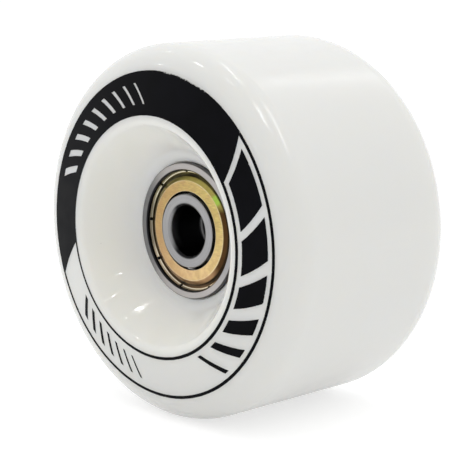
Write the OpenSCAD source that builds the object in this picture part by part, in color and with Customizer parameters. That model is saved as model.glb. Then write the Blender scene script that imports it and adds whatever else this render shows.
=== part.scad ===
// Roller skate wheel: a cast urethane tyre that turns on two shielded ball bearings,
// whose inner rings are held apart by a spacer sleeve and clamped on the axle.
// The axle line is Y, the front face looks along -Y, and the origin is the middle of the wheel.

/* [Tyre] */
// Diameter over the tread
tyre_d = 60; // [56:0.5:68]
// Width over the two lips
tyre_w = 39; // [35:0.5:46]
// Angle at which each side band falls back from its lip to the tread
band_tilt = 11.5; // [5:0.5:18]
// Radius of the rounded edge between side band and tread
tread_edge = 5; // [2:0.1:6]
// Diameter of the crest of each lip
lip_d = 37.2; // [34:0.2:42]
// Radius of the rounded lip
lip_round = 1.4; // [0.8:0.1:2.4]

/* [Dishes and bearing seats] */
// Width of the flat floor between the mouth of each seat and the fillet of the dish
dish_floor_w = 0.1; // [0.1:0.1:1.2]
// Radius of the fillet between dish floor and dish wall
dish_fillet = 2; // [0.5:0.1:2.4]
// Height by which each bearing stands out of its seat
bearing_proud = 0.8; // [0.2:0.1:1.5]
// Radius of the rounded mouth of each seat
seat_edge = 0.25; // [0.1:0.05:0.4]
// Width of the step in the tyre that stops each outer ring
seat_stop = 1.4; // [0.8:0.1:2]

/* [Bearing rings] */
// Outside diameter of the outer ring
bearing_od = 22; // [20:0.1:24]
// Bore of the inner ring, a sliding fit on the axle
bearing_bore = 8; // [7:0.1:9]
// Width of both rings
bearing_w = 7; // [6.4:0.1:8]
// Radius of the rounded ends of the bore
bore_round = 0.65; // [0.2:0.05:0.8]
// Radius of the rounded outside edges of the outer ring
ring_round = 0.3; // [0.1:0.05:0.5]
// Chamfer at the mouth of each shield pocket
mouth_chamfer = 0.25; // [0.1:0.05:0.3]
// Chamfer on the outside edges of the inner ring
land_chamfer = 0.12; // [0.05:0.01:0.2]
// Depth of the raceway groove below the land beside it
race_depth = 0.45; // [0.4:0.05:0.7]
// Radius of the raceway groove as a share of the ball diameter
race_conformity = 0.52; // [0.51:0.005:0.54]

/* [Balls and cage] */
// Diameter of each ball
ball_d = 3.969; // [3.6:0.001:4.1]
// Balls in each bearing
ball_count = 7; // [5:1:7]
// Thickness of the cage ribbon
cage_t = 0.3; // [0.2:0.05:0.35]
// Gap between the cage ribbon and the lands of the rings
cage_gap = 0.7; // [0.5:0.05:0.9]
// Width of the tabs that lock the two halves of the cage
tab_w = 0.9; // [0.5:0.1:1]
// Length of the folded end of each tab
tab_fold = 1; // [0.8:0.1:1.2]

/* [Shields] */
// Thickness of the shield sheet
shield_t = 0.25; // [0.2:0.01:0.3]
// Depth of the flat of the shield below the ring faces
shield_recess = 0.4; // [0.3:0.05:0.5]
// Depth of the step in the outer ring on which the rim of the shield rests
shield_seat_depth = 1.25; // [1.15:0.05:1.4]
// Height of that step across the ring
shield_step = 0.65; // [0.45:0.05:0.7]
// Gap between the shield and the land of the inner ring
shield_gap = 0.45; // [0.2:0.05:0.6]
// Width of the flat rim that rests on that step
rim_plate_w = 0.75; // [0.6:0.05:1]
// Slope of the shield between its flat and its rim
shield_slope = 34; // [32:1:50]
// Inside radius of the bends in the shield
shield_bend = 0.12; // [0.05:0.01:0.15]
// Height of the turned-up rim of the shield
rim_h = 0.5; // [0.4:0.05:0.55]
// Lean of the rim into the groove of the outer ring
rim_lean = 25; // [15:1:30]
// Slits that let the rim spread into its groove
rim_slits = 9; // [6:1:12]
// Width of each slit
slit_w = 0.5; // [0.2:0.05:0.6]
// Depth of each slit in from the foot of the rim
slit_depth = 0.3; // [0.2:0.05:0.35]
// Turn of the slits around the axle
slit_turn = 16; // [0:1:40]

/* [Spacer] */
// Length of the spacer between the inner rings
spacer_len = 10; // [8:0.1:11]
// Wall of the spacer
spacer_wall = 1.1; // [0.8:0.1:1.5]
// Chamfer on the edges of the spacer
spacer_chamfer = 0.2; // [0.1:0.05:0.3]

/* [Fits] */
// Gap between each ball and the bottom of its raceways
race_clearance = 0.03; // [0.01:0.005:0.05]
// Gap between each ball and its pocket in the cage
pocket_clearance = 0.08; // [0.05:0.01:0.1]
// Gap between the outer ring and its seat in the tyre
seat_clearance = 0.01; // [0.01:0.005:0.02]
// Gap between the rim of the shield and its groove
rim_clearance = 0.04; // [0.02:0.01:0.05]
// Gap between the tabs and the half of the cage that they hold
tab_clearance = 0.04; // [0.02:0.01:0.06]
// Gap between the spacer and the axle, on the radius
spacer_clearance = 0.1; // [0.05:0.01:0.12]

/* [Hidden] */
SIDES = ["front", "back"];
$fn = 96;

// Overrun of a cutting shape past the surface that it cuts
over = 1;
// Overlap that lets a rounding arc run cleanly into the lines beside it
weld = 0.0002;
// Share of its radius by which the cap under a rounding arc reaches back along those lines
cap_reach = 0.08;

// Radii and heights of the tyre, heights along the axle from the middle of the wheel
tread_radius = tyre_d / 2;
lip_radius = lip_d / 2;
stop_height = spacer_len / 2;
bearing_face = stop_height + bearing_w;
seat_radius = bearing_od / 2 + seat_clearance;
floor_height = bearing_face - bearing_proud;

// Radii of the bearing, and heights from the middle of its width
face = bearing_w / 2;
pitch_radius = (bearing_od + bearing_bore) / 4;
ball_radius = ball_d / 2;
groove_radius = race_conformity * ball_d;
inner_groove_bottom = pitch_radius - ball_radius - race_clearance;
outer_groove_bottom = pitch_radius + ball_radius + race_clearance;
inner_land = inner_groove_bottom + race_depth;
outer_land = outer_groove_bottom - race_depth;
ball_step = 360 / ball_count;

// The outer ring's step, and the shield that is spread into the groove over it
shield_seat = face - shield_seat_depth;
mouth_radius = outer_land + shield_step;
rim_foot = mouth_radius - rim_clearance;
rim_reach = rim_h * sin(rim_lean);
rim_rise = rim_h * cos(rim_lean);
shield_inner = inner_land + shield_gap;
shield_flat = face - shield_recess - shield_t;
slope_foot = rim_foot - rim_plate_w;
slope_head = slope_foot - (shield_flat - shield_seat) / tan(shield_slope);

// The cage ribbon
pocket_radius = ball_radius + pocket_clearance;
ribbon_in = inner_land + cage_gap;
ribbon_out = outer_land - cage_gap;

function unit(v) = v / norm(v);

// Point where two lines meet that lie at distance t from point p, on the side of normals n1 and n2
function offset_corner(p, n1, n2, t) = p + t * (n1 + n2) / (1 + n1 * n2);

// Normal to the left of the way from a to b
function left_normal(a, b) = let (d = unit(b - a)) [-d.y, d.x];

// Start, end and centre of the arc that rounds corner b between a and c, and whether it points outward
function corner_arc(a, b, c, r) =
    let (u = unit(a - b), w = unit(c - b), half = acos(u * w) / 2, reach = r / tan(half))
    [b + u * reach, b + w * reach, b + unit(u + w) * r / sin(half), cross(b - a, c - b) > 0];

// Outline with rounded corners: each point is [x, y, radius], anticlockwise
module rounded_outline(points) {
    count = len(points);
    places = [for (p = points) [p.x, p.y]];
    arcs = [for (i = [0:count - 1])
        corner_arc(places[(i + count - 1) % count], places[i], places[(i + 1) % count], points[i].z)];
    rounded = [for (i = [0:count - 1]) if (points[i].z > 0) i];
    difference() {
        union() {
            polygon([for (i = [0:count - 1])
                each points[i].z > 0 ? [arcs[i][0], arcs[i][1]] : [places[i]]]);
            for (i = rounded) if (arcs[i][3]) arc_cap(places[i], arcs[i], points[i].z);
        }
        for (i = rounded) if (!arcs[i][3]) translate(arcs[i][2]) circle(r = points[i].z + weld);
    }
}

// Cap of a circle that fills a rounded corner out to its arc
module arc_cap(corner, arc, r) {
    centre = arc[2];
    start = arc[0] + cap_reach * r * unit(arc[0] - corner);
    end = arc[1] + cap_reach * r * unit(arc[1] - corner);
    intersection() {
        translate(centre) circle(r = r + weld);
        polygon([start, 2 * start - centre, 2 * corner - centre, 2 * end - centre, end]);
    }
}

// Profile of a bent sheet that lies to the left of its path
module sheet_profile(path, thickness, bend) {
    last = len(path) - 1;
    normals = [for (i = [0:last - 1]) left_normal(path[i], path[i + 1])];
    turns = [for (i = [1:last - 1]) cross(normals[i - 1], normals[i])];
    upper = [for (i = [0:last])
        i == 0 ? path[0] + thickness * normals[0]
        : i == last ? path[last] + thickness * normals[last - 1]
        : offset_corner(path[i], normals[i - 1], normals[i], thickness)];
    function bend_radius(i, side) =
        i == 0 || i == last ? 0 : side * turns[i - 1] > 0 ? bend + thickness : bend;
    rounded_outline(concat(
        [for (i = [0:last]) [path[i].x, path[i].y, bend_radius(i, 1)]],
        [for (i = [last:-1:0]) [upper[i].x, upper[i].y, bend_radius(i, -1)]]
    ));
}

// Section of a sleeve with chamfered edges, from radius a to b and from height -h to h
module sleeve_section(a, b, h, chamfer) {
    polygon([
        [a, -h + chamfer], [a + chamfer, -h], [b - chamfer, -h], [b, -h + chamfer],
        [b, h - chamfer], [b - chamfer, h], [a + chamfer, h], [a, h - chamfer]
    ]);
}

// Lays a shape that was drawn around Z on the axle, with its top to the front
module on_axle() {
    rotate([90, 0, 0]) children();
}

// Puts a bearing piece in the seat on one side, with its top to the outside
module in_bearing(side) {
    rotate([side == "front" ? 90 : -90, 0, 0])
        translate([0, 0, stop_height + face]) children();
}

// One side of the tyre section from the tread inwards, as [radius, height, rounding]:
// the dish wall runs from the round lip to the round hollow around the bearing, tangent to both
function tyre_side() =
    let (
        crest = [lip_radius, tyre_w / 2 - lip_round],
        hollow = [seat_radius + seat_edge + dish_floor_w, floor_height + dish_fillet],
        away = crest - hollow,
        wall = atan2(away.y, away.x) + asin((lip_round + dish_fillet) / norm(away)),
        band_normal = [sin(band_tilt), cos(band_tilt)],
        wall_normal = [-sin(wall), cos(wall)],
        lip = offset_corner(crest, band_normal, wall_normal, lip_round),
        foot = offset_corner(hollow, [0, -1], -wall_normal, dish_fillet),
        edge = [tread_radius, lip.y - (tread_radius - lip.x) * tan(band_tilt)]
    )
    [
        [edge.x, edge.y, tread_edge],
        [lip.x, lip.y, lip_round],
        [foot.x, foot.y, dish_fillet],
        [seat_radius, floor_height, seat_edge],
        [seat_radius, stop_height, 0],
        [seat_radius - seat_stop, stop_height, seat_edge]
    ];

// Urethane tyre with a dish, a bearing seat and a stop on each side
module tyre() {
    half = tyre_side();
    last = len(half) - 1;
    mirrored = [for (i = [last:-1:0]) [half[i].x, -half[i].y, half[i].z]];
    color("whitesmoke") on_axle() rotate_extrude() rounded_outline(concat(half, mirrored));
}

// Sleeve that keeps the two inner rings apart
module bearing_spacer() {
    bore = bearing_bore / 2 + spacer_clearance;
    color("silver") on_axle() rotate_extrude()
        sleeve_section(bore, bore + spacer_wall, spacer_len / 2, spacer_chamfer);
}

// Outer ring with its raceway, and on each side the step and groove that hold a shield
module outer_ring() {
    color("lightslategray") rotate_extrude() difference() {
        rounded_outline([
            [outer_land, -face, 0], [bearing_od / 2, -face, ring_round],
            [bearing_od / 2, face, ring_round], [outer_land, face, 0]
        ]);
        translate([outer_groove_bottom - groove_radius, 0]) circle(r = groove_radius);
        shield_pocket_section();
        mirror([0, 1]) shield_pocket_section();
    }
}

// Section of the pocket that the outer ring has for a shield
module shield_pocket_section() {
    polygon([
        [outer_land - over, shield_seat],
        [mouth_radius, shield_seat],
        [mouth_radius + rim_reach, shield_seat + rim_rise],
        [mouth_radius, shield_seat + rim_rise + rim_reach],
        [mouth_radius, face - mouth_chamfer],
        [mouth_radius + mouth_chamfer + over, face + over],
        [outer_land - over, face + over]
    ]);
}

// Inner ring with its raceway
module inner_ring() {
    color("lightslategray") rotate_extrude() difference() {
        inner_ring_section();
        translate([inner_groove_bottom + groove_radius, 0]) circle(r = groove_radius);
    }
}

// Section of the inner ring before its raceway is ground
module inner_ring_section() {
    bore = bearing_bore / 2;
    shoulder = inner_land - land_chamfer;
    rounded_outline([
        [bore, -face, bore_round], [shoulder, -face, 0], [inner_land, -face + land_chamfer, 0],
        [inner_land, face - land_chamfer, 0], [shoulder, face, 0], [bore, face, bore_round]
    ]);
}

// Pressed shield with a stepped web and a slit, turned-up rim
module shield() {
    path = [
        [shield_inner, shield_flat],
        [slope_head, shield_flat],
        [slope_foot, shield_seat],
        [rim_foot, shield_seat],
        [rim_foot + rim_reach, shield_seat + rim_rise]
    ];
    color("darkkhaki") difference() {
        rotate_extrude() sheet_profile(path, shield_t, shield_bend);
        for (i = [0:rim_slits - 1]) rotate([0, 0, slit_turn + i * 360 / rim_slits])
            translate([rim_foot - slit_depth, -slit_w / 2, shield_seat - over])
                cube([slit_depth + rim_reach + over, slit_w, rim_h + shield_t + 2 * over]);
    }
}

// One ball, counted from 1
module ball(i) {
    color("gainsboro") rotate([0, 0, (i - 1) * ball_step])
        translate([pitch_radius, 0, 0]) sphere(r = ball_radius);
}

// Repeats a shape at each ball, or between the balls if it is shifted by half a step
module around_balls(shift) {
    for (i = [0:ball_count - 1]) rotate([0, 0, (i + shift) * ball_step]) children();
}

// Half of the ribbon cage, on the outside of the ball centres, with a round pocket over each ball
module cage_ribbon() {
    cup_radius = pocket_radius + cage_t;
    difference() {
        intersection() {
            rotate_extrude() translate([ribbon_in, 0]) square([ribbon_out - ribbon_in, cup_radius + over]);
            union() {
                cylinder(r = ribbon_out + over, h = cage_t);
                around_balls(0) translate([pitch_radius, 0, 0]) sphere(r = cup_radius);
            }
        }
        around_balls(0) translate([pitch_radius, 0, 0]) sphere(r = pocket_radius);
    }
}

// Outside half of the cage, whose tabs pass the edge of the other half and fold under it
module cage_tab_half() {
    fold_height = -cage_t - tab_clearance;
    tab_in = ribbon_out + tab_clearance;
    tab_out = tab_in + cage_t;
    color("darkgray") union() {
        cage_ribbon();
        around_balls(0.5) {
            translate([pitch_radius, -tab_w / 2, 0]) cube([tab_out - pitch_radius, tab_w, cage_t]);
            translate([tab_in, -tab_w / 2, fold_height - cage_t])
                cube([cage_t, tab_w, 2 * cage_t - fold_height]);
            translate([tab_out - tab_fold, -tab_w / 2, fold_height - cage_t])
                cube([tab_fold, tab_w, cage_t]);
        }
    }
}

// Inside half of the cage, over which the tabs fold
module cage_plain_half() {
    color("darkgray") mirror([0, 0, 1]) cage_ribbon();
}

tyre();
bearing_spacer();
for (side = SIDES) {
    in_bearing(side) outer_ring();
    in_bearing(side) inner_ring();
    in_bearing(side) shield();
    in_bearing(side) rotate([180, 0, 0]) shield();
    in_bearing(side) cage_tab_half();
    in_bearing(side) cage_plain_half();
    for (i = [1:ball_count])
        in_bearing(side) ball(i);
}
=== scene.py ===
"""Looks of a roller skate wheel: cast urethane tyre with a printed band, and two shielded ball bearings."""

import math

import bmesh
import bpy
from bpy.props import FloatProperty, FloatVectorProperty, PointerProperty
from mathutils import Matrix, Vector, kdtree, noise


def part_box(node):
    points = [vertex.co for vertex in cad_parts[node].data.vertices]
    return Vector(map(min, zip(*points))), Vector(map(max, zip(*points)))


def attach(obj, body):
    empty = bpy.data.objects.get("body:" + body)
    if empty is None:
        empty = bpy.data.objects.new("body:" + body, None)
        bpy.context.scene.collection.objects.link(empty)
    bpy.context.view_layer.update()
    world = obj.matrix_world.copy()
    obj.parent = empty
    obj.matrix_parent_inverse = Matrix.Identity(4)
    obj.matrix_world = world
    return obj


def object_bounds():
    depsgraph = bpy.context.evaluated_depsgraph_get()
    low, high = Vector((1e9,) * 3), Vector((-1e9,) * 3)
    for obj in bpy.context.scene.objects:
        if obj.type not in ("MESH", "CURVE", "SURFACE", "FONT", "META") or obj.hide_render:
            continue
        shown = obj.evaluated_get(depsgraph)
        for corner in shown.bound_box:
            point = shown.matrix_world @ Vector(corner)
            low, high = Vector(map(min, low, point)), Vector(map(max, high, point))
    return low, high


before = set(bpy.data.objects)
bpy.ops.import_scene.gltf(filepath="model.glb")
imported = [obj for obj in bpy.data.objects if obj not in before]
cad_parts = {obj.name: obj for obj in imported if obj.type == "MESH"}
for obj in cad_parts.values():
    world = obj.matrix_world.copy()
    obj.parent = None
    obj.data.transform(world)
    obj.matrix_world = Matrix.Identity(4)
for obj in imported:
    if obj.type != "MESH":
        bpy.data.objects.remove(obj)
CAD_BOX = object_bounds()

bl_info = {
    "name": "Roller skate wheel",
    "version": (1, 0, 0),
    "blender": (4, 5, 0),
    "location": "3D View > Sidebar > Wheel",
    "description": "Finishes for a skate wheel with a printed urethane tyre and shielded ball bearings",
    "category": "Object",
}

MM = 0.001
SIDES = ("front", "back")
BALL_COUNT = 7


# Sizes and colours that a user may change


class TyreSettings(bpy.types.PropertyGroup):
    """Finish of the urethane"""

    colour: FloatVectorProperty(
        name="Urethane", description="Colour of the cast urethane", subtype="COLOR",
        size=3, min=0, max=1, default=(0.842, 0.84, 0.814))
    # Painted light: the dishes, and their floors around the bearings even more, are painted paler than the
    # tread, standing in for the light bounced inside them
    dish_painted_light: FloatVectorProperty(
        name="Dishes", description="Colour of the clean urethane in the dishes", subtype="COLOR",
        size=3, min=0, max=1, default=(0.965, 0.952, 0.88))
    dish_floor_painted_light: FloatVectorProperty(
        name="Dish floors", description="Colour of the urethane around the bearings", subtype="COLOR",
        size=3, min=0, max=1, default=(0.99, 0.982, 0.94))
    cool_colour: FloatVectorProperty(
        name="Cool patches", description="Colour of the faint cooler clouds in the urethane",
        subtype="COLOR", size=3, min=0, max=1, default=(0.836, 0.838, 0.82))
    speck_colour: FloatVectorProperty(
        name="Specks", description="Colour of the few specks of dust on the urethane", subtype="COLOR",
        size=3, min=0, max=1, default=(0.36, 0.35, 0.31))
    roughness: FloatProperty(
        name="Roughness", description="Roughness of the moulded skin", min=0, max=1, default=0.07)
    tread_roughness: FloatProperty(
        name="Tread roughness", description="Roughness of the ground tread", min=0, max=1, default=0.20)
    translucency: FloatProperty(
        name="Translucency", description="Share of the light that enters the urethane",
        min=0, max=1, default=0.6)
    depth: FloatProperty(
        name="Depth", description="How far light travels under the skin", unit="LENGTH",
        min=0, max=0.02, default=0.0035)


class PrintSettings(bpy.types.PropertyGroup):
    """Printed band on the front of the tyre"""

    inner_radius: FloatProperty(
        name="Inner radius", description="Radius of the inner edge of the band", unit="LENGTH",
        min=0.0188, max=0.022, default=0.01902)
    outer_radius: FloatProperty(
        name="Outer radius", description="Radius of the outer edge of the band", unit="LENGTH",
        min=0.024, max=0.026, default=0.02592)
    line_width: FloatProperty(
        name="Line width", description="Width of the two thin edge lines", unit="LENGTH",
        min=0.0001, max=0.001, default=0.0005)
    film: FloatProperty(
        name="Film", description="Height of the ink over the urethane", unit="LENGTH",
        min=0.000005, max=0.0001, default=0.000016)
    slant: FloatProperty(
        name="Slant", description="Turn of the slanted ends from the inner to the outer edge",
        subtype="ANGLE", min=0, max=0.5, default=math.radians(13))
    ink_colour: FloatVectorProperty(
        name="Ink", description="Colour of the ink", subtype="COLOR",
        size=3, min=0, max=1, default=(0.0020, 0.0021, 0.0030))
    thin_colour: FloatVectorProperty(
        name="Thin ink", description="Colour of the ink where it lies thinner", subtype="COLOR",
        size=3, min=0, max=1, default=(0.0040, 0.0041, 0.0062))
    wear: FloatProperty(
        name="Wear", description="How much of the ink's edge has chipped", min=0, max=1, default=0.50)


class BearingSettings(bpy.types.PropertyGroup):
    """Finish of the two ball bearings"""

    ring_colour: FloatVectorProperty(
        name="Ring steel", description="Colour of the ground rings", subtype="COLOR",
        size=3, min=0, max=1, default=(0.342, 0.339, 0.343))
    # Painted highlight: the top and bottom of the outer rings' faces are painted brighter and warmer, where
    # the turned faces catch the light
    outer_face_highlight: FloatVectorProperty(
        name="Warm steel", description="Colour of the outer rings' brightest stretches", subtype="COLOR",
        size=3, min=0, max=1, default=(0.45, 0.423, 0.408))
    # Painted shade: this dark colour fills the bores, the ball pockets, the outside and the left of the
    # outer rings, and the spacer's bore, where shade falls
    painted_shade_colour: FloatVectorProperty(
        name="Bore", description="Colour of the dark, oiled bore", subtype="COLOR",
        size=3, min=0, max=1, default=(0.014, 0.014, 0.016))
    shield_colour: FloatVectorProperty(
        name="Shield", description="Colour of the yellow-passivated shields", subtype="COLOR",
        size=3, min=0, max=1, default=(0.59, 0.475, 0.165))
    # Painted reflection: the lower part of the shields is painted paler and warmer, where a reflection
    # falls
    lower_sheen_colour: FloatVectorProperty(
        name="Shield tint", description="Colour of the faint tarnish on the shields", subtype="COLOR",
        size=3, min=0, max=1, default=(0.79, 0.577, 0.29))
    # Painted highlight: the shields' bends and rims are painted bright, where they catch the light
    edge_highlight_colour: FloatVectorProperty(
        name="Rubbed edges", description="Colour of the shields' bright edges", subtype="COLOR",
        size=3, min=0, max=1, default=(0.83, 0.79, 0.64))
    # Painted shade: the sloping steps are painted darker, where they turn away from the light
    slope_shade_colour: FloatVectorProperty(
        name="Slope", description="Colour of the shields' sloping steps", subtype="COLOR",
        size=3, min=0, max=1, default=(0.255, 0.24, 0.045))
    # Bloom: real random mottles, and also painted shade on the left of the shields and a painted reflection
    # low on their sloping steps
    bloom_and_painted_light_colour: FloatVectorProperty(
        name="Bloom", description="Colour of the rosy bloom on the shields' sloping steps", subtype="COLOR",
        size=3, min=0, max=1, default=(0.42, 0.21, 0.12))
    # Painted reflection: a green spot reflected on the shields' sloping steps
    green_reflection_colour: FloatVectorProperty(
        name="Green bloom", description="Colour of the green spot on the shields' sloping steps",
        subtype="COLOR", size=3, min=0, max=1, default=(0.26, 0.62, 0.045))
    # Oil: real specks, and also painted shade in the shields' troughs and on the left stretch of their rims
    oil_and_shade_colour: FloatVectorProperty(
        name="Oil", description="Colour of the oil in the shields' troughs", subtype="COLOR",
        size=3, min=0, max=1, default=(0.016, 0.013, 0.008))
    # Painted shadow: the right of the shields' sloping steps is painted dark reddish brown, where the lip
    # shades it
    slope_shadow_colour: FloatVectorProperty(
        name="Rust", description="Colour of the brown stain on the shields' sloping steps", subtype="COLOR",
        size=3, min=0, max=1, default=(0.05, 0.018, 0.006))
    ball_colour: FloatVectorProperty(
        name="Balls", description="Colour of the polished balls", subtype="COLOR",
        size=3, min=0, max=1, default=(0.70, 0.70, 0.71))
    cage_colour: FloatVectorProperty(
        name="Cages", description="Colour of the pressed cages", subtype="COLOR",
        size=3, min=0, max=1, default=(0.42, 0.41, 0.39))
    spacer_colour: FloatVectorProperty(
        name="Spacer", description="Colour of the turned aluminium spacer", subtype="COLOR",
        size=3, min=0, max=1, default=(0.58, 0.58, 0.57))


class StageSettings(bpy.types.PropertyGroup):
    """Floor, light and camera"""

    floor_colour: FloatVectorProperty(
        name="Floor", description="Colour of the floor", subtype="COLOR",
        size=3, min=0, max=1, default=(0.96, 0.96, 0.96))
    patch_colour: FloatVectorProperty(
        name="Floor patches", description="Colour of the floor's faint patches", subtype="COLOR",
        size=3, min=0, max=1, default=(0.9, 0.9, 0.9))
    floor_lift: FloatProperty(
        name="Floor lift", description="White that is added where the floor is seen",
        min=0, max=1, default=0.35)
    floor_share: FloatProperty(
        name="Floor white", description="Share of plain white where the floor is seen",
        min=0, max=1, default=0.5)
    ambient: FloatProperty(
        name="Ambient", description="Strength of the light from all around", min=0, max=2, default=0.58)
    soft_light: FloatProperty(
        name="Soft light", description="Strength of the soft light from the sides",
        min=0, max=2, default=1.0)
    lamp_brightness: FloatProperty(
        name="Lamps", description="Brightness of the ceiling lamps that glint on the wheel",
        min=0, max=40, default=12.0)
    azimuth: FloatProperty(
        name="Azimuth", description="Turn of the camera to the right of the front", subtype="ANGLE",
        default=math.radians(46.48))
    elevation: FloatProperty(
        name="Elevation", description="Height angle of the camera", subtype="ANGLE",
        default=math.radians(10.42))
    distance: FloatProperty(
        name="Distance", description="Distance of the camera from the front bearing", unit="LENGTH",
        min=0.1, max=2, default=0.25698)
    lens: FloatProperty(
        name="Lens", description="Focal length in millimetres", min=10, max=300, default=126.2)
    aim_right: FloatProperty(
        name="Aim right", description="How far right of the front bearing the camera looks", unit="LENGTH",
        default=0.006933)
    aim_up: FloatProperty(
        name="Aim up", description="How far above the front bearing the camera looks", unit="LENGTH",
        default=0.000181)


class WheelSettings(bpy.types.PropertyGroup):
    """All settings of the wheel"""

    tyre: PointerProperty(type=TyreSettings)
    band: PointerProperty(type=PrintSettings)
    bearing: PointerProperty(type=BearingSettings)
    stage: PointerProperty(type=StageSettings)


# Shader helpers


def feed(tree, source, socket):
    """Links a socket, or sets a plain value."""
    if isinstance(source, bpy.types.NodeSocket):
        tree.links.new(source, socket)
    else:
        socket.default_value = source


def put(tree, kind, values=None, **attributes):
    """New node with its attributes set and its inputs fed by name."""
    made = tree.nodes.new(kind)
    for name, value in attributes.items():
        setattr(made, name, value)
    for name, value in (values or {}).items():
        feed(tree, value, made.inputs[name])
    return made


def calc(tree, operation, first, second=0.0, clamp=False):
    """Output of a Math node."""
    made = tree.nodes.new("ShaderNodeMath")
    made.operation = operation
    made.use_clamp = clamp
    feed(tree, first, made.inputs[0])
    feed(tree, second, made.inputs[1])
    return made.outputs[0]


def remap(tree, value, low, high, to_low=0.0, to_high=1.0, smooth=False):
    """Output of a Map Range node."""
    made = put(tree, "ShaderNodeMapRange", {
        "Value": value, "From Min": low, "From Max": high, "To Min": to_low, "To Max": to_high})
    if smooth:
        made.interpolation_type = "SMOOTHSTEP"
    return made.outputs[0]


def blend_colour(tree, share, first, second):
    """Mix of two colours, given as sockets or as values."""
    # A Mix node has its colour sockets after those for numbers and vectors
    made = tree.nodes.new("ShaderNodeMix")
    made.data_type = "RGBA"
    feed(tree, share, made.inputs[0])
    feed(tree, first, made.inputs[6])
    feed(tree, second, made.inputs[7])
    return made.outputs[2]


def rgba(colour):
    """Colour with full alpha."""
    return (*colour, 1.0)


def place_in_mm(tree):
    """Place on the object, in millimetres."""
    coordinates = tree.nodes.new("ShaderNodeTexCoord")
    scaled = put(tree, "ShaderNodeVectorMath", operation="SCALE")
    tree.links.new(coordinates.outputs["Object"], scaled.inputs[0])
    scaled.inputs["Scale"].default_value = 1 / MM
    return scaled.outputs[0]


def split_place(tree):
    """X, Y and Z of the place on the object, in millimetres."""
    return put(tree, "ShaderNodeSeparateXYZ", {"Vector": place_in_mm(tree)}).outputs


def spot_distance(tree, spot):
    """Distance from a spot in millimetres, seen along the axle."""
    split = split_place(tree)
    across = put(tree, "ShaderNodeCombineXYZ", {"X": split["X"], "Z": split["Z"]}).outputs[0]
    return put(tree, "ShaderNodeVectorMath", {0: across, 1: spot}, operation="DISTANCE").outputs["Value"]


def noise_at(tree, place, scale, detail=2.0, roughness=0.5):
    """Value of a Noise Texture."""
    made = put(tree, "ShaderNodeTexNoise", {"Vector": place, "Detail": detail, "Roughness": roughness})
    feed(tree, scale, made.inputs["Scale"])
    return made.outputs[0]


def start_group(name, inputs, outputs):
    """Node group with float sockets. Gives the tree and its input and output nodes."""
    tree = bpy.data.node_groups.new(name, "ShaderNodeTree")
    for label, default in inputs:
        socket = tree.interface.new_socket(label, in_out="INPUT", socket_type="NodeSocketFloat")
        socket.default_value = default
    for label in outputs:
        tree.interface.new_socket(label, in_out="OUTPUT", socket_type="NodeSocketFloat")
    return tree, tree.nodes.new("NodeGroupInput"), tree.nodes.new("NodeGroupOutput")


def use_group(tree, name, values):
    """A node group placed in a material with its own values."""
    made = tree.nodes.new("ShaderNodeGroup")
    made.node_tree = GROUP_MAKERS[name](name)
    for label, value in values.items():
        feed(tree, value, made.inputs[label])
    return made.outputs


def made_once(maker):
    """Keeps a node group, so that each is built only once."""
    def make(name):
        return bpy.data.node_groups.get(name) or maker(name)
    return make


@made_once
def axle_place(name):
    """Distance from the axle, and distance along it from the middle of the wheel."""
    tree, _, outside = start_group(name, [], ["Radius in mm", "Height in mm"])
    split = split_place(tree)
    across = calc(tree, "MULTIPLY", split["X"], split["X"])
    up = calc(tree, "MULTIPLY", split["Z"], split["Z"])
    feed(tree, calc(tree, "SQRT", calc(tree, "ADD", across, up)), outside.inputs["Radius in mm"])
    feed(tree, calc(tree, "ABSOLUTE", split["Y"]), outside.inputs["Height in mm"])
    return tree


@made_once
def turned_lines(name):
    """Fine rings around the axle, as a lathe or a grinding wheel leaves them."""
    tree, inside, outside = start_group(name, [("Lines per mm", 8.0), ("Wander", 0.6)], ["Lines"])
    place = use_group(tree, "Axle place", {})
    split = split_place(tree)
    turn = calc(tree, "ARCTAN2", split["Z"], split["X"])
    lines = put(tree, "ShaderNodeCombineXYZ", {
        "X": calc(tree, "MULTIPLY", place["Radius in mm"], inside.outputs["Lines per mm"]),
        "Y": calc(tree, "MULTIPLY", place["Height in mm"], inside.outputs["Lines per mm"]),
        "Z": calc(tree, "MULTIPLY", calc(tree, "SINE", turn), inside.outputs["Wander"])})
    feed(tree, noise_at(tree, lines.outputs[0], 1.0, 3.0, 0.65), outside.inputs["Lines"])
    return tree


@made_once
def rolled_grain(name):
    """Straight fine grain of rolled sheet, along X."""
    tree, inside, outside = start_group(name, [("Lines per mm", 9.0), ("Stretch", 14.0)], ["Grain"])
    split = split_place(tree)
    stretched = calc(tree, "DIVIDE", split["X"], inside.outputs["Stretch"])
    place = put(tree, "ShaderNodeCombineXYZ", {"X": stretched, "Y": split["Y"], "Z": split["Z"]})
    grain = noise_at(tree, place.outputs[0], inside.outputs["Lines per mm"], 3.0, 0.7)
    feed(tree, grain, outside.inputs["Grain"])
    return tree


@made_once
def cloudy_patches(name):
    """Soft patches of about the given size."""
    tree, inside, outside = start_group(name, [("Size in mm", 6.0)], ["Patches"])
    scale = calc(tree, "DIVIDE", 1.0, inside.outputs["Size in mm"])
    value = noise_at(tree, place_in_mm(tree), scale, 3.0, 0.55)
    feed(tree, remap(tree, value, 0.3, 0.7, smooth=True), outside.inputs["Patches"])
    return tree


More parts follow.
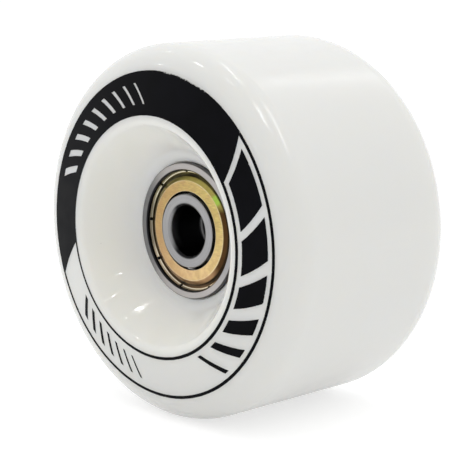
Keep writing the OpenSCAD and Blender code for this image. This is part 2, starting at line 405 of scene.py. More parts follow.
@made_once
def dust_specks(name):
    """Few small specks. Spacing is the cell size, and Size the radius of the largest as a share of it."""
    tree, inside, outside = start_group(name, [("Spacing in mm", 4.0), ("Size", 0.05)], ["Specks"])
    cells = put(tree, "ShaderNodeTexVoronoi", {
        "Vector": place_in_mm(tree), "Scale": calc(tree, "DIVIDE", 1.0, inside.outputs["Spacing in mm"])})
    pick = put(tree, "ShaderNodeSeparateColor", {"Color": cells.outputs["Color"]}).outputs[0]
    reach = calc(tree, "MULTIPLY", remap(tree, pick, 0.4, 1.0), inside.outputs["Size"])
    inner = calc(tree, "SUBTRACT", reach, cells.outputs["Distance"])
    feed(tree, calc(tree, "MULTIPLY", inner, 60.0, clamp=True), outside.inputs["Specks"])
    return tree


@made_once
def worn_edges(name):
    """Chips along some stretches of an edge. Edge is 1 on the edge and falls to 0 away from it.

    Rubbed is 1 where the edge has suffered most.
    """
    tree, inside, outside = start_group(
        name, [("Edge", 0.0), ("Rubbed", 0.0), ("Chip size in mm", 0.4), ("Amount", 0.5)], ["Chips"])
    scale = calc(tree, "DIVIDE", 1.0, inside.outputs["Chip size in mm"])
    chance = noise_at(tree, place_in_mm(tree), scale, 4.0, 0.7)
    patches = use_group(tree, "Cloudy patches", {"Size in mm": 7.0})["Patches"]
    stretch = calc(tree, "MAXIMUM", patches, inside.outputs["Rubbed"])
    away = calc(tree, "MULTIPLY", calc(tree, "SUBTRACT", 1.0, inside.outputs["Edge"]), 0.5)
    sound = calc(tree, "MULTIPLY", calc(tree, "SUBTRACT", 1.0, stretch), 0.25)
    worn = calc(tree, "MULTIPLY", inside.outputs["Amount"], 0.4)
    worn = calc(tree, "ADD", worn, calc(tree, "MULTIPLY", inside.outputs["Rubbed"], 0.2))
    level = calc(tree, "SUBTRACT", calc(tree, "ADD", chance, worn), calc(tree, "ADD", away, sound))
    feed(tree, remap(tree, level, 0.72, 0.78), outside.inputs["Chips"])
    return tree


GROUP_MAKERS = {
    "Axle place": axle_place,
    "Turned lines": turned_lines,
    "Rolled grain": rolled_grain,
    "Cloudy patches": cloudy_patches,
    "Dust specks": dust_specks,
    "Worn edges": worn_edges,
}


def new_material(name, **constants):
    """Material with a Principled shader. Constants are set on the shader's own sockets."""
    made = bpy.data.materials.new(name)
    made.use_nodes = True
    tree = made.node_tree
    tree.nodes.clear()
    shader = tree.nodes.new("ShaderNodeBsdfPrincipled")
    output = tree.nodes.new("ShaderNodeOutputMaterial")
    tree.links.new(shader.outputs["BSDF"], output.inputs["Surface"])
    for label, value in constants.items():
        shader.inputs[label.replace("_", " ")].default_value = value
    return made, tree, shader


def between(tree, value, low, high, soft):
    """1 between two values and 0 outside, with soft ends."""
    rise = remap(tree, value, low - soft, low + soft, smooth=True)
    fall = remap(tree, value, high - soft, high + soft, 1.0, 0.0, smooth=True)
    return calc(tree, "MULTIPLY", rise, fall)


def add_bump(tree, shader, height, distance):
    """Bump on the shader's normal. Distance is the height of the relief in metres."""
    bump = put(tree, "ShaderNodeBump", {"Height": height, "Distance": distance, "Strength": 1.0})
    tree.links.new(bump.outputs["Normal"], shader.inputs["Normal"])


# Materials

# Zones in mm from the axle. Tyre: the dish, its floor that is painted paler towards the bearing as painted
# light, and the tread's edge
DISH = (11.8, 18.4)
DISH_FLOOR = (12.0, 15.5)
TREAD_EDGE = (28.6, 29.8)
# Rings: the edge of the bore, the pocket of the balls, and the face and the outside of the outer ring;
# painted shade darkens the bore, the pocket and the outside
BORE_EDGE = (4.34, 4.64)
BALL_POCKET = (7.0, 9.90)
OUTER_FACE = (9.7, 9.9)
OUTER_SIDE = (10.78, 10.92)
# Shields: the two bends, the sloping step, its trough, and the rim; the bends and the rim get painted
# highlights, and the step and the trough painted shade
INNER_BEND = (6.30, 6.45)
OUTER_BEND = (7.98, 8.08)
SLOPE = (8.12, 9.40)
TROUGH = (8.72, 9.36)
RIM = (9.38, 9.46)
# Spacer: the edge of the bore, inside which painted shade darkens it
SPACER_BORE_EDGE = (4.2, 4.4)
# Spots in mm on the print's most worn stretch, on a shield's painted green reflection and on the stretch of
# its rim that gets painted shade
RUBBED_SPOT = (6.0, 0.0, 25.0)
GREEN_REFLECTION_SPOT = (6.3, 0.0, 5.6)
SHADED_RIM_SPOT = (-9.5, 0.0, 0.0)
# Stretches over which painted light sets in, in mm to the side of the axle, up from it, or along it
RING_BRIGHT_UP = (4.0, 9.0)
RING_SHADED_SIDE = (-4.0, -9.0)
BORE_LIT_SIDE = (-2.2, -4.0)
BORE_LIT_ALONG = (9.8, 11.8)
SHIELD_ROSY_UP = (5.0, -8.0)
SHIELD_SHADED_SIDE = (6.0, -8.0)
SHIELD_SHADOW_SIDE = (4.5, 7.0)
SHIELD_SHADOW_UP = (5.2, 3.6)
# Ripples of the moulded skin, everywhere and in the dishes only: waves per mm and height in mm
BROAD_RIPPLE = (0.35, 0.012)
FINE_RIPPLE = (0.7, 0.006)


def ripple_at(tree, rate, height):
    """Height of a soft ripple in mm."""
    return calc(tree, "MULTIPLY", noise_at(tree, place_in_mm(tree), rate, 2.0, 0.5), height)


def urethane_material(look):
    """White cast urethane: glossy, a little translucent, with faint clouds, a few specks, and painted light
    that makes the dishes paler.
    """
    made, tree, shader = new_material(
        "cast_urethane", IOR=1.5, Subsurface_Weight=look.translucency, Subsurface_Scale=look.depth,
        Subsurface_Radius=(1.0, 0.92, 0.80))
    clouds = use_group(tree, "Cloudy patches", {"Size in mm": 16.0})["Patches"]
    smears = use_group(tree, "Cloudy patches", {"Size in mm": 3.5})["Patches"]
    specks = use_group(tree, "Dust specks", {"Spacing in mm": 5.0, "Size": 0.028})["Specks"]
    radius = use_group(tree, "Axle place", {})["Radius in mm"]
    in_dish = between(tree, radius, *DISH, 0.9)
    on_tread = remap(tree, radius, *TREAD_EDGE, smooth=True)
    cool = calc(tree, "MULTIPLY", clouds, 0.7)
    base = blend_colour(tree, cool, rgba(look.colour), rgba(look.cool_colour))
    # Painted light: the dish and its floor are painted paler, standing in for the light bounced inside the
    # dish
    base = blend_colour(tree, in_dish, base, rgba(look.dish_painted_light))
    deep = remap(tree, radius, *DISH_FLOOR, 1.0, 0.0, smooth=True)
    base = blend_colour(tree, deep, base, rgba(look.dish_floor_painted_light))
    base = blend_colour(tree, calc(tree, "MULTIPLY", specks, 0.8), base, rgba(look.speck_colour))
    feed(tree, base, shader.inputs["Base Color"])
    ground = calc(tree, "MULTIPLY", on_tread, look.tread_roughness - look.roughness)
    skin = calc(tree, "ADD", ground, look.roughness)
    skin = calc(tree, "MULTIPLY", skin, remap(tree, in_dish, 0.0, 1.0, 1.0, 0.5))
    gloss = calc(tree, "MULTIPLY", skin, remap(tree, smears, 0.0, 1.0, 0.9, 1.15))
    feed(tree, calc(tree, "ADD", gloss, calc(tree, "MULTIPLY", specks, 0.4)), shader.inputs["Roughness"])
    fine = calc(tree, "MULTIPLY", ripple_at(tree, *FINE_RIPPLE), in_dish)
    ripple = calc(tree, "ADD", ripple_at(tree, *BROAD_RIPPLE), fine)
    add_bump(tree, shader, ripple, MM)
    return made


def ink_material(look, tyre):
    """Black printing ink, with chips along its edges that show the urethane."""
    made, tree, shader = new_material("screen_ink", IOR=1.45, Specular_IOR_Level=0.05)
    edge = put(tree, "ShaderNodeAttribute", attribute_name="ink_edge").outputs["Fac"]
    rubbed_and_lit = remap(tree, spot_distance(tree, RUBBED_SPOT), 3.0, 8.0, 1.0, 0.0, smooth=True)
    chips = use_group(tree, "Worn edges", {
        "Edge": edge, "Rubbed": rubbed_and_lit, "Chip size in mm": 0.35, "Amount": look.wear})["Chips"]
    chips = calc(tree, "MULTIPLY", chips, 0.75)
    smears = use_group(tree, "Cloudy patches", {"Size in mm": 4.0})["Patches"]
    thin = calc(tree, "MULTIPLY", smears, 0.6)
    ink = blend_colour(tree, thin, rgba(look.ink_colour), rgba(look.thin_colour))
    feed(tree, blend_colour(tree, chips, ink, rgba(tyre.colour)), shader.inputs["Base Color"])
    feed(tree, remap(tree, smears, 0.0, 1.0, 0.36, 0.48), shader.inputs["Roughness"])
    pinholes = noise_at(tree, place_in_mm(tree), 5.0, 2.0, 0.6)
    add_bump(tree, shader, pinholes, 0.003 * MM)
    return made


def ring_material(look):
    """Ground bearing steel: bright faces with fine rings, painted shade in the bore, in the pockets,
    outside and on the left of the outer face, and a painted highlight on the top and bottom of that face.
    """
    made, tree, shader = new_material("ground_steel", Metallic=1.0)
    lines = use_group(tree, "Turned lines", {"Lines per mm": 12.0, "Wander": 0.5})["Lines"]
    place = use_group(tree, "Axle place", {})
    radius = place["Radius in mm"]
    smears = use_group(tree, "Cloudy patches", {"Size in mm": 2.5})["Patches"]
    bright = tuple(min(1.0, c * 1.22) for c in look.ring_colour)
    dull_and_shaded = tuple(c * 0.80 for c in look.ring_colour)
    steel = blend_colour(tree, remap(tree, lines, 0.3, 0.7), rgba(dull_and_shaded), rgba(bright))
    # Painted shade: the bore is darkened, as no light reaches into it
    in_bore = remap(tree, radius, *BORE_EDGE, 1.0, 0.0, smooth=True)
    split = split_place(tree)
    outer_face = remap(tree, radius, *OUTER_FACE)
    # Painted highlight: the top and bottom of the outer face are painted brighter, where the turned face
    # catches the light
    top_bottom_highlight = remap(tree, calc(tree, "ABSOLUTE", split["Z"]), *RING_BRIGHT_UP, 0.0, 0.85, smooth=True)
    steel = blend_colour(tree, calc(tree, "MULTIPLY", top_bottom_highlight, outer_face), steel, rgba(look.outer_face_highlight))
    # Painted light: the bore's painted shade is lifted on its left, near the face, where light reaches into
    # it
    rubbed_and_lit = calc(tree, "MULTIPLY", remap(tree, split["X"], *BORE_LIT_SIDE, smooth=True),
                  remap(tree, place["Height in mm"], *BORE_LIT_ALONG, 0.0, 0.7, smooth=True))
    in_bore = calc(tree, "MULTIPLY", in_bore, calc(tree, "SUBTRACT", 1.0, rubbed_and_lit))
    in_pocket = between(tree, radius, *BALL_POCKET, 0.05)
    outside = remap(tree, radius, *OUTER_SIDE, smooth=True)
    # Painted shade: the outer face is darkened on its left, where the turned face catches no light
    shaded = remap(tree, split["X"], *RING_SHADED_SIDE, 0.0, 0.45, smooth=True)
    side_shade = calc(tree, "MULTIPLY", shaded, outer_face)
    steel = blend_colour(tree, side_shade, steel, rgba(look.painted_shade_colour))
    # Painted shade: the bore, the ball pocket and the outside of the outer ring are darkened where shade
    # falls
    hidden = calc(tree, "MAXIMUM", in_bore, in_pocket)
    dark = calc(tree, "MAXIMUM", hidden, calc(tree, "MULTIPLY", outside, 0.8))
    feed(tree, blend_colour(tree, dark, steel, rgba(look.painted_shade_colour)), shader.inputs["Base Color"])
    worn = calc(tree, "ADD", remap(tree, smears, 0.0, 1.0, 0.29, 0.38), calc(tree, "MULTIPLY", lines, 0.08))
    feed(tree, worn, shader.inputs["Roughness"])
    add_bump(tree, shader, lines, 0.011 * MM)
    return made


def shield_material(look):
    """Yellow-passivated sheet: straight rolling grain, random mottles and specks, painted reflections low
    down and in a green spot, painted shade on the left, on the sloping step and in the trough, and painted
    highlights on the bends and the rim.
    """
    made, tree, shader = new_material("yellow_zinc_sheet", Metallic=1.0)
    grain = use_group(tree, "Rolled grain", {"Lines per mm": 7.0, "Stretch": 9.0})["Grain"]
    patchy_light = use_group(tree, "Cloudy patches", {"Size in mm": 3.2})["Patches"]
    specks = use_group(tree, "Dust specks", {"Spacing in mm": 1.3, "Size": 0.07})["Specks"]
    radius = use_group(tree, "Axle place", {})["Radius in mm"]
    low = tuple(c * 0.68 for c in look.shield_colour)
    high = tuple(min(1.0, c * 1.26) for c in look.shield_colour)
    base = blend_colour(tree, remap(tree, grain, 0.3, 0.7), rgba(low), rgba(high))
    split = split_place(tree)
    # Painted reflection: the shield is painted paler and warmer towards the bottom, in patches
    lower = remap(tree, split["Z"], *SHIELD_ROSY_UP, smooth=True)
    rosy = calc(tree, "MULTIPLY", lower, remap(tree, patchy_light, 0.0, 1.0, 0.55, 1.0))
    base = blend_colour(tree, rosy, base, rgba(look.lower_sheen_colour))
    # Painted shade: the shield is painted darker and browner towards the left
    left_shade = remap(tree, split["X"], *SHIELD_SHADED_SIDE, 0.0, 0.48, smooth=True)
    base = blend_colour(tree, left_shade, base, rgba(look.bloom_and_painted_light_colour))
    mottles = use_group(tree, "Cloudy patches", {"Size in mm": 0.9})["Patches"]
    base = blend_colour(tree, calc(tree, "MULTIPLY", mottles, 0.35), base, rgba(look.bloom_and_painted_light_colour))
    base = blend_colour(tree, calc(tree, "MULTIPLY", specks, 0.5), base, rgba(look.oil_and_shade_colour))
    # Painted shade on the sloping step, with a painted reflection lower down
    slope = between(tree, radius, *SLOPE, 0.10)
    film = blend_colour(tree, lower, rgba(look.slope_shade_colour), rgba(look.bloom_and_painted_light_colour))
    # Painted reflection: a green spot on the slope
    green = remap(tree, spot_distance(tree, GREEN_REFLECTION_SPOT), 0.5, 1.2, 0.9, 0.0, smooth=True)
    film = blend_colour(tree, green, film, rgba(look.green_reflection_colour))
    # Painted shadow: the right of the slope is painted dark reddish brown, where the lip shades it
    right_shadow = calc(tree, "MULTIPLY", remap(tree, split["X"], *SHIELD_SHADOW_SIDE, smooth=True),
                   remap(tree, split["Z"], *SHIELD_SHADOW_UP, smooth=True))
    film = blend_colour(tree, right_shadow, film, rgba(look.slope_shadow_colour))
    cover = calc(tree, "MULTIPLY", slope, remap(tree, right_shadow, 0.0, 1.0, 0.65, 0.95))
    base = blend_colour(tree, cover, base, film)
    # Painted shade: the trough between the step and the rim is darkened
    in_trough = between(tree, radius, *TROUGH, 0.10)
    trough_shade = calc(tree, "MULTIPLY", in_trough, remap(tree, patchy_light, 0.0, 1.0, 0.8, 1.0))
    base = blend_colour(tree, trough_shade, base, rgba(look.oil_and_shade_colour))
    # Painted highlight: the two bends and the rim are painted bright, where they catch the light
    inner_bend = between(tree, radius, *INNER_BEND, 0.04)
    outer_bend = between(tree, radius, *OUTER_BEND, 0.05)
    bends = calc(tree, "MAXIMUM", inner_bend, outer_bend)
    on_rim = remap(tree, radius, *RIM, smooth=True)
    bright_bends = calc(tree, "MULTIPLY", bends, remap(tree, patchy_light, 0.0, 1.0, 0.5, 0.1))
    rubbed_and_lit = calc(tree, "MAXIMUM", bright_bends, on_rim)
    base = blend_colour(tree, rubbed_and_lit, base, rgba(look.edge_highlight_colour))
    # Painted shade: the rim is darkened on its left, which turns away from the light
    near = remap(tree, spot_distance(tree, SHADED_RIM_SPOT), 2.5, 5.5, 0.6, 0.0, smooth=True)
    dull_and_shaded = calc(tree, "MULTIPLY", near, on_rim)
    feed(tree, blend_colour(tree, dull_and_shaded, base, rgba(look.oil_and_shade_colour)), shader.inputs["Base Color"])
    feed(tree, remap(tree, grain, 0.25, 0.75, 0.29, 0.42), shader.inputs["Roughness"])
    add_bump(tree, shader, grain, 0.004 * MM)
    return made


def ball_material(look):
    """Polished ball steel with an oily film."""
    made, tree, shader = new_material("polished_ball_steel", Metallic=1.0)
    smears = use_group(tree, "Cloudy patches", {"Size in mm": 1.4})["Patches"]
    dull_and_shaded = tuple(c * 0.9 for c in look.ball_colour)
    feed(tree, blend_colour(tree, smears, rgba(look.ball_colour), rgba(dull_and_shaded)), shader.inputs["Base Color"])
    feed(tree, remap(tree, smears, 0.0, 1.0, 0.05, 0.12), shader.inputs["Roughness"])
    return made


def cage_material(look):
    """Pressed cage strip with rolling grain."""
    made, tree, shader = new_material("pressed_cage_strip", Metallic=1.0)
    grain = use_group(tree, "Rolled grain", {"Lines per mm": 6.0, "Stretch": 6.0})["Grain"]
    smears = use_group(tree, "Cloudy patches", {"Size in mm": 2.0})["Patches"]
    dull_and_shaded = tuple(c * 0.75 for c in look.cage_colour)
    feed(tree, blend_colour(tree, smears, rgba(look.cage_colour), rgba(dull_and_shaded)), shader.inputs["Base Color"])
    feed(tree, remap(tree, grain, 0.25, 0.75, 0.30, 0.45), shader.inputs["Roughness"])
    add_bump(tree, shader, grain, 0.004 * MM)
    return made


def spacer_material(look):
    """Turned aluminium, with painted shade in its bore."""
    made, tree, shader = new_material("turned_aluminium", Metallic=1.0)
    lines = use_group(tree, "Turned lines", {"Lines per mm": 5.0, "Wander": 0.3})["Lines"]
    smears = use_group(tree, "Cloudy patches", {"Size in mm": 3.0})["Patches"]
    dull_and_shaded = tuple(c * 0.8 for c in look.spacer_colour)
    turned = blend_colour(tree, smears, rgba(look.spacer_colour), rgba(dull_and_shaded))
    radius = use_group(tree, "Axle place", {})["Radius in mm"]
    # Painted shade: the spacer's bore is darkened deep inside the wheel
    in_bore = remap(tree, radius, *SPACER_BORE_EDGE, 0.75, 0.0, smooth=True)
    feed(tree, blend_colour(tree, in_bore, turned, rgba(look.painted_shade_colour)), shader.inputs["Base Color"])
    feed(tree, remap(tree, lines, 0.2, 0.8, 0.28, 0.44), shader.inputs["Roughness"])
    add_bump(tree, shader, lines, 0.01 * MM)
    return made


def dress(names, finish):
    """Gives CAD nodes their finish."""
    for name in names:
        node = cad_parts.get(name)
        if node is None:
            raise RuntimeError(f"the packed model has no node {name}")
        node.material_slots[0].material = finish


# Printed band

# Place of the side band on the tyre, in mm: a point of the cone, and how it falls back outwards
BAND_RADIUS = 18.8791
BAND_HEIGHT = 19.4719
BAND_FALL = math.tan(math.radians(11.5))
# Steps of the ink's grid, in mm across the band and in degrees around it
GRID_STEP = 0.16
GRID_TURN = 0.4
# How far the sides of the film reach down into the tyre, in mm
FILM_FOOT = 0.05
# Distance from an edge within which the ink may chip, in mm
CHIP_REACH = 0.5
# Waves of a worn edge: waves per mm and their height in mm
EDGE_WAVES = ((1.7, 0.035), (5.0, 0.03))
# Turns in degrees between which the dark arc runs, anticlockwise from the right
ARC_START = 38.0
ARC_END = 196.0
# Bars, each narrower than the one before, knocked out of the arc and printed on the white part, in degrees
ARC_BARS = {"start": 160.0, "way": -1, "count": 9, "width": 3.4, "shrink": 0.28, "gap": 5.2}
LOW_BARS = {"start": -142.0, "way": 1, "count": 7, "width": 2.6, "shrink": 0.26, "gap": 4.6}
# How far the bars stay from the band's edges, in mm
ARC_BAR_MARGIN = 1.75
LOW_BAR_MARGIN = 1.9
# Blocks after the arc, clockwise: gap before each and its width, in degrees
BLOCKS = ((3.0, 21.0), (4.0, 15.0), (5.0, 10.5), (6.0, 7.0), (7.0, 4.2), (8.0, 2.2))
# How far the blocks stay from the band's edges, in widths of the edge lines
BLOCK_MARGIN = 2.4


def band_height(radius):
    """Height of the band over the middle of the wheel, in mm, at a radius in mm."""
    return BAND_HEIGHT - (radius - BAND_RADIUS) * BAND_FALL


def steps_between(marks, longest):
    """Marks with even steps between them, none longer than the given one."""
    found = [marks[0]]
    for low, high in zip(marks, marks[1:]):
        count = max(1, math.ceil((high - low) / longest - 1e-6))
        found += [low + (high - low) * i / count for i in range(1, count + 1)]
    return found


def fading_bars(low, high, start, way, count, width, shrink, gap):
    """Boxes of bars that get narrower one by one, anticlockwise (1) or clockwise (-1) from a turn."""
    boxes = []
    turn = start
    for i in range(count):
        size = width - shrink * i
        ends = sorted((turn, turn + way * size))
        boxes.append((*ends, low, high))
        turn += way * (size + gap)
    return boxes


def fading_blocks(low, high):
    """Boxes of the blocks that follow the arc."""
    boxes = []
    turn = ARC_START
    for gap, width in BLOCKS:
        turn -= gap
        boxes.append((turn - width, turn, low, high))
        turn -= width
    return boxes


def inside_any(turn, radius, boxes):
    """Whether a place lies in one of the boxes (turn from, to, radius from, to)."""
    return any(a < turn < b and c < radius < d for a, b, c, d in boxes)


def ink_film(name, look, solid, holes=()):
    """Thin film of ink over boxes of the band, with knocked-out boxes.

    Boxes are (turn from, turn to, radius from, radius to), in degrees and mm. Turns are slanted.
    """
    inner = look.inner_radius / MM
    outer = look.outer_radius / MM
    slant = math.degrees(look.slant)
    boxes = list(solid) + list(holes)
    turns = steps_between(sorted({t for b in boxes for t in b[:2]}), GRID_TURN)
    radii = steps_between(sorted({r for b in boxes for r in b[2:]}), GRID_STEP)
    mesh = bmesh.new()
    corners = {}

    def corner(i, j):
        if (i, j) not in corners:
            share = (radii[j] - inner) / (outer - inner)
            angle = math.radians(turns[i] + slant * (share - 0.5))
            height = band_height(radii[j]) + look.film / MM
            corners[i, j] = mesh.verts.new(
                Vector((radii[j] * math.cos(angle), -height, radii[j] * math.sin(angle))) * MM)
        return corners[i, j]

    for i in range(len(turns) - 1):
        turn = (turns[i] + turns[i + 1]) / 2
        for j in range(len(radii) - 1):
            radius = (radii[j] + radii[j + 1]) / 2
            if inside_any(turn, radius, solid) and not inside_any(turn, radius, holes):
                mesh.faces.new((corner(i, j), corner(i + 1, j), corner(i + 1, j + 1), corner(i, j + 1)))
    return finish_film(name, mesh, look)


def finish_film(name, mesh, look):
    """Roughens the edge of a film, marks how near each point is to it, and closes its sides."""
    nearness = mesh.verts.layers.float.new("ink_edge")
    rim = [v for v in mesh.verts if any(len(e.link_faces) == 1 for e in v.link_edges)]
    tree = kdtree.KDTree(len(rim))
    for i, vert in enumerate(rim):
        tree.insert(vert.co, i)
    tree.balance()
    for vert in mesh.verts:
        distance = tree.find(vert.co)[2] / MM
        vert[nearness] = max(0.0, 1.0 - distance / CHIP_REACH)
    for vert in rim:
        place = vert.co / MM
        wobble = sum((noise.noise_vector(place * rate) * height for rate, height in EDGE_WAVES), Vector())
        wobble.y = 0.0
        vert.co += wobble * MM * look.wear
    edges = [e for e in mesh.edges if len(e.link_faces) == 1]
    sides = bmesh.ops.extrude_edge_only(mesh, edges=edges)["geom"]
    for vert in sides:
        if isinstance(vert, bmesh.types.BMVert):
            vert.co.y += FILM_FOOT * MM
    bmesh.ops.recalc_face_normals(mesh, faces=mesh.faces)
    data = bpy.data.meshes.new(name)
    mesh.to_mesh(data)
    mesh.free()
    data.shade_smooth()
    data.set_sharp_from_angle(angle=math.radians(40))
    film = bpy.data.objects.new(name, data)
    bpy.context.scene.collection.objects.link(film)
    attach(film, "wheel")
    return film


# Stage

# Soft light from far away: turn and rise in degrees of the side it comes from, how narrow it is, and its
# colour. A colour below 0 takes light away, on the camera's side and on the right.
SOFT_LIGHT = (
    (0, 90, 2, (0.20, 0.217, 0.235)),
    (180, 10, 2, (0.31, 0.32, 0.335)),
    (-60, 50, 2, (0.26, 0.26, 0.265)),
    (40, 5, 2, (-0.12, -0.13, -0.165)),
    (80, 0, 3, (-0.03, -0.045, -0.07)),
)
# Ceiling lamps: name, place to the right and to the back, length and width in metres, turn in degrees,
# share of the brightness
CEILING_LAMPS = (
    ("tube_over_camera", 0.385, -0.279, 0.30, 0.11, -38.3, 0.6),
    ("tube_over_wheel", -0.165, 0.175, 0.41, 0.06, -37.0, 0.5),
    ("tube_right", 0.631, 0.177, 0.69, 0.06, -15.7, 0.85),
    ("tube_behind", -0.130, 1.170, 0.49, 0.05, 57.6, 0.4),
    ("lamp_front", 0.867, -0.6525, 0.05, 0.006, -23.8, 4.0),
    ("lamp_front_left", 0.393, -0.471, 0.02, 0.005, -21.3, 6.0),
    ("lamp_overhead", -0.103, -0.285, 0.10, 0.009, -17.9, 4.0),
    ("lamp_left", -0.547, -0.390, 0.14, 0.03, -22.5, 2.5),
    ("lamp_side", -1.027, 0.0, 0.10, 0.012, -20.5, 6.0),
    ("lamp_far_left", -1.753, -1.302, 0.16, 0.05, 40.0, 2.0),
)
LAMP_HEIGHT = 1.0
FLOOR_RADIUS = 3.0
WHITE = (1.0, 1.0, 1.0, 1.0)


def ceiling_lamp(name, right, back, length, width, turn, share, brightness):
    """Lamp that shines straight down. Brightness is that of its face, and 1 is the background's white."""
    data = bpy.data.lights.new(name, "AREA")
    data.shape = "RECTANGLE"
    data.size = length
    data.size_y = width
    data.energy = brightness * share * math.pi * length * width
    lamp = bpy.data.objects.new(name, data)
    bpy.context.scene.collection.objects.link(lamp)
    lamp.location = (right, back, LAMP_HEIGHT)
    lamp.rotation_euler.z = math.radians(turn)


def seen_rays(tree):
    """1 on rays that come from the camera, straight or by way of gloss or glass."""
    path = tree.nodes.new("ShaderNodeLightPath").outputs
    mirrored = calc(tree, "ADD", path["Is Glossy Ray"], path["Is Transmission Ray"])
    return calc(tree, "ADD", path["Is Camera Ray"], mirrored, clamp=True)


def build_world(look):
    """Soft light, stronger from some sides, and a white background."""
    world = bpy.data.worlds.new("studio")
    bpy.context.scene.world = world
    world.use_nodes = True
    tree = world.node_tree
    tree.nodes.clear()
    direction = tree.nodes.new("ShaderNodeTexCoord").outputs["Generated"]
    total = put(tree, "ShaderNodeCombineXYZ", {
        "X": look.ambient, "Y": look.ambient, "Z": look.ambient}).outputs[0]
    for turn, rise, narrow, colour in SOFT_LIGHT:
        source = toward(math.radians(turn), math.radians(rise))
        side = put(tree, "ShaderNodeVectorMath", {0: direction, 1: source}, operation="DOT_PRODUCT")
        facing = calc(tree, "MAXIMUM", side.outputs["Value"], 0.0)
        share = calc(tree, "MULTIPLY", calc(tree, "POWER", facing, narrow), look.soft_light)
        tinted = put(tree, "ShaderNodeVectorMath", {0: colour, "Scale": share}, operation="SCALE")
        added = put(tree, "ShaderNodeVectorMath", {0: total, 1: tinted.outputs[0]}, operation="ADD")
        total = added.outputs[0]
    light = put(tree, "ShaderNodeBackground", {"Color": total, "Strength": 1.0})
    white = put(tree, "ShaderNodeBackground", {"Color": WHITE, "Strength": 1.0})
    both = put(tree, "ShaderNodeMixShader", {0: seen_rays(tree), 1: light.outputs[0], 2: white.outputs[0]})
    output = tree.nodes.new("ShaderNodeOutputWorld")
    tree.links.new(both.outputs[0], output.inputs["Surface"])


def floor_material(look):
    """Pale floor that shows nearly white, and keeps the wheel's shadow."""
    made = bpy.data.materials.new("pale_floor")
    made.use_nodes = True
    tree = made.node_tree
    tree.nodes.clear()
    patches = use_group(tree, "Cloudy patches", {"Size in mm": 60.0})["Patches"]
    faint = calc(tree, "MULTIPLY", patches, 0.15)
    paper = blend_colour(tree, faint, rgba(look.floor_colour), rgba(look.patch_colour))
    matt = put(tree, "ShaderNodeBsdfDiffuse", {"Color": paper})
    white = put(tree, "ShaderNodeEmission", {"Color": WHITE, "Strength": 1.0})
    seen = seen_rays(tree)
    lift = put(tree, "ShaderNodeEmission", {
        "Color": WHITE, "Strength": calc(tree, "MULTIPLY", seen, look.floor_lift)})
    lifted = put(tree, "ShaderNodeAddShader", {0: matt.outputs[0], 1: lift.outputs[0]})
    share = calc(tree, "MULTIPLY", seen, look.floor_share)
    both = put(tree, "ShaderNodeMixShader", {0: share, 1: lifted.outputs[0], 2: white.outputs[0]})
    output = tree.nodes.new("ShaderNodeOutputMaterial")
    tree.links.new(both.outputs[0], output.inputs["Surface"])
    return made


def build_floor(look, level):
    """Round floor under the wheel."""
    mesh = bmesh.new()
    bmesh.ops.create_circle(mesh, cap_ends=True, segments=96, radius=FLOOR_RADIUS)
    data = bpy.data.meshes.new("floor")
    mesh.to_mesh(data)
    mesh.free()
    data.materials.append(floor_material(look))
    floor = bpy.data.objects.new("floor", data)
    floor.location.z = level
    bpy.context.scene.collection.objects.link(floor)


def toward(turn, rise):
    """Direction at a turn to the right of the front and a rise above the horizon."""
    return Vector((math.sin(turn) * math.cos(rise), -math.cos(turn) * math.cos(rise), math.sin(rise)))


def build_camera(look):
    """Camera at the photograph's place: it looks past the front bearing, which lies left of the middle."""
    back = toward(look.azimuth, look.elevation)
    right = Vector((math.cos(look.azimuth), math.sin(look.azimuth), 0.0))
    up = back.cross(right)
    bearing_face = Vector((0.0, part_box("front_inner_ring")[0].y, 0.0))
    data = bpy.data.cameras.new("camera")
    data.lens = look.lens
    data.sensor_width = 36.0
    data.clip_start = 0.01
    data.clip_end = 20.0
    camera = bpy.data.objects.new("camera", data)
    bpy.context.scene.collection.objects.link(camera)
    camera.location = bearing_face + right * look.aim_right + up * look.aim_up + back * look.distance
    camera.rotation_mode = "QUATERNION"
    camera.rotation_quaternion = Matrix((right, up, back)).transposed().to_quaternion()
    bpy.context.scene.camera = camera


# Operators


class WHEEL_OT_tyre(bpy.types.Operator):
    """Gives the tyre its urethane"""

    bl_idname = "wheel.tyre"
    bl_label = "Tyre"

    def execute(self, context):
        dress(["tyre"], urethane_material(context.scene.skate_wheel.tyre))
        return {"FINISHED"}


class WHEEL_OT_print(bpy.types.Operator):
    """Prints the band on the front of the tyre"""

    bl_idname = "wheel.print"
    bl_label = "Printed band"

    def execute(self, context):
        settings = context.scene.skate_wheel
        look = settings.band
        inner = look.inner_radius / MM
        outer = look.outer_radius / MM
        line = look.line_width / MM
        ink = ink_material(look, settings.tyre)
        arc = (ARC_START, ARC_END, inner, outer)
        knocked_out = fading_bars(inner + ARC_BAR_MARGIN, outer - ARC_BAR_MARGIN, **ARC_BARS)
        margin = line * BLOCK_MARGIN
        rest = (ARC_END - 360.0, ARC_START)
        lines = [(*rest, inner, inner + line), (*rest, outer - line, outer)]
        bars = fading_bars(inner + LOW_BAR_MARGIN, outer - LOW_BAR_MARGIN, **LOW_BARS)
        films = [
            ink_film("print_arc", look, [arc], knocked_out),
            ink_film("print_blocks", look, fading_blocks(inner + margin, outer - margin)),
            ink_film("print_lines", look, lines),
            ink_film("print_bars", look, bars),
        ]
        for film in films:
            film.data.materials.append(ink)
        return {"FINISHED"}


class WHEEL_OT_rings(bpy.types.Operator):
    """Gives the bearing rings their ground steel"""

    bl_idname = "wheel.rings"
    bl_label = "Bearing rings"

    def execute(self, context):
        finish = ring_material(context.scene.skate_wheel.bearing)
        dress([f"{side}_{ring}_ring" for side in SIDES for ring in ("outer", "inner")], finish)
        return {"FINISHED"}


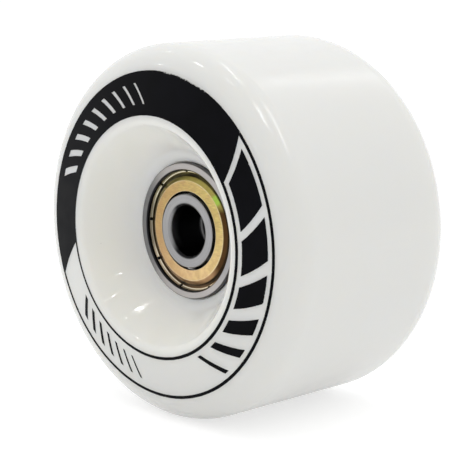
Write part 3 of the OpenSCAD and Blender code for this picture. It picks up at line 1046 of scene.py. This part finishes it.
class WHEEL_OT_shields(bpy.types.Operator):
    """Gives the shields their yellow sheet"""

    bl_idname = "wheel.shields"
    bl_label = "Shields"

    def execute(self, context):
        finish = shield_material(context.scene.skate_wheel.bearing)
        dress([f"{side}_{place}_shield" for side in SIDES for place in ("outside", "inside")], finish)
        return {"FINISHED"}


class WHEEL_OT_balls(bpy.types.Operator):
    """Gives the balls their polish"""

    bl_idname = "wheel.balls"
    bl_label = "Balls"

    def execute(self, context):
        finish = ball_material(context.scene.skate_wheel.bearing)
        dress([f"{side}_ball_{i + 1}" for side in SIDES for i in range(BALL_COUNT)], finish)
        return {"FINISHED"}


class WHEEL_OT_cages(bpy.types.Operator):
    """Gives the cages their pressed strip"""

    bl_idname = "wheel.cages"
    bl_label = "Cages"

    def execute(self, context):
        finish = cage_material(context.scene.skate_wheel.bearing)
        dress([f"{side}_cage_{half}_half" for side in SIDES for half in ("tab", "plain")], finish)
        return {"FINISHED"}


class WHEEL_OT_spacer(bpy.types.Operator):
    """Gives the spacer its turned aluminium"""

    bl_idname = "wheel.spacer"
    bl_label = "Spacer"

    def execute(self, context):
        dress(["bearing_spacer"], spacer_material(context.scene.skate_wheel.bearing))
        return {"FINISHED"}


class WHEEL_OT_stage(bpy.types.Operator):
    """Sets up floor, light and camera"""

    bl_idname = "wheel.stage"
    bl_label = "Stage"

    def execute(self, context):
        look = context.scene.skate_wheel.stage
        context.scene.view_settings.view_transform = "Standard"
        build_world(look)
        build_floor(look, CAD_BOX[0].z)
        for lamp in CEILING_LAMPS:
            ceiling_lamp(*lamp, look.lamp_brightness)
        build_camera(look)
        return {"FINISHED"}


class WHEEL_PT_panel(bpy.types.Panel):
    """Lists the pieces of the wheel and their settings"""

    bl_idname = "WHEEL_PT_panel"
    bl_label = "Skate wheel"
    bl_space_type = "VIEW_3D"
    bl_region_type = "UI"
    bl_category = "Wheel"

    def draw(self, context):
        settings = context.scene.skate_wheel
        for operator in OPERATORS:
            self.layout.operator(operator.bl_idname)
        for group in (settings.tyre, settings.band, settings.bearing, settings.stage):
            box = self.layout.box()
            for name in group.__annotations__:
                box.prop(group, name)


OPERATORS = (
    WHEEL_OT_tyre,
    WHEEL_OT_print,
    WHEEL_OT_rings,
    WHEEL_OT_shields,
    WHEEL_OT_balls,
    WHEEL_OT_cages,
    WHEEL_OT_spacer,
    WHEEL_OT_stage,
)
SETTINGS = (TyreSettings, PrintSettings, BearingSettings, StageSettings, WheelSettings)


def register():
    """Registers the settings, the operators and the panel."""
    for part in (*SETTINGS, *OPERATORS, WHEEL_PT_panel):
        bpy.utils.register_class(part)
    bpy.types.Scene.skate_wheel = PointerProperty(type=WheelSettings)


def unregister():
    """Takes everything out again."""
    del bpy.types.Scene.skate_wheel
    for part in reversed((*SETTINGS, *OPERATORS, WHEEL_PT_panel)):
        bpy.utils.unregister_class(part)


def main():
    """Builds the wheel's looks."""
    register()
    bpy.ops.wheel.tyre()
    bpy.ops.wheel.print()
    bpy.ops.wheel.rings()
    bpy.ops.wheel.shields()
    bpy.ops.wheel.balls()
    bpy.ops.wheel.cages()
    bpy.ops.wheel.spacer()
    bpy.ops.wheel.stage()


if __name__ == "__main__":
    main()
